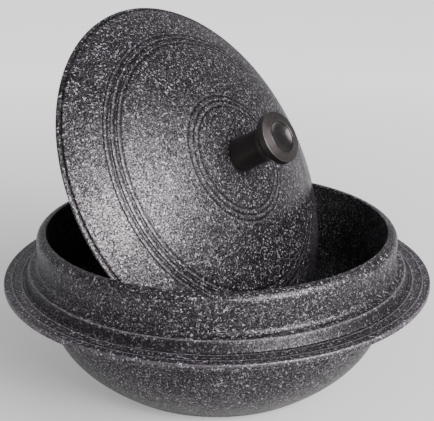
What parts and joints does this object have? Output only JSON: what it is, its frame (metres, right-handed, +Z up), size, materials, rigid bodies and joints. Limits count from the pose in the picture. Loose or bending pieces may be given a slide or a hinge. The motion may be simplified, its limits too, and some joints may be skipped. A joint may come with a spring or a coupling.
{
  "type": "dolsot",
  "caption": "Round cast cooking pot with a wide ringed brim and an upright collar, its domed lid leaning in the mouth with the knob to the side.",
  "frame": {"origin": "centre of the pot's flat foot, on the surface that it stands on", "axes": "+Z up along the pot's axis; the leaning lid's knob points along azimuth -36 degrees, between +X and -Y, and slightly up"},
  "size_m": [0.34, 0.34, 0.2834],
  "materials": {
    "pot_coating": "satin marbled non-stick coating with fine pale speckles",
    "lid_coating": "satin marbled coating with fine pale speckles",
    "knob_body": "matte moulded phenolic",
    "knob_cap": "polished",
    "bush": "turned",
    "fastener": "plain"
  },
  "bodies": {
    "root": {"pot": "pot_coating", "lid": "lid_coating", "knob": "knob_body", "knob_cap": "knob_cap", "knob_insert": "bush", "screw_washer": "fastener", "knob_screw": "fastener"}
  },
  "joints": []
}
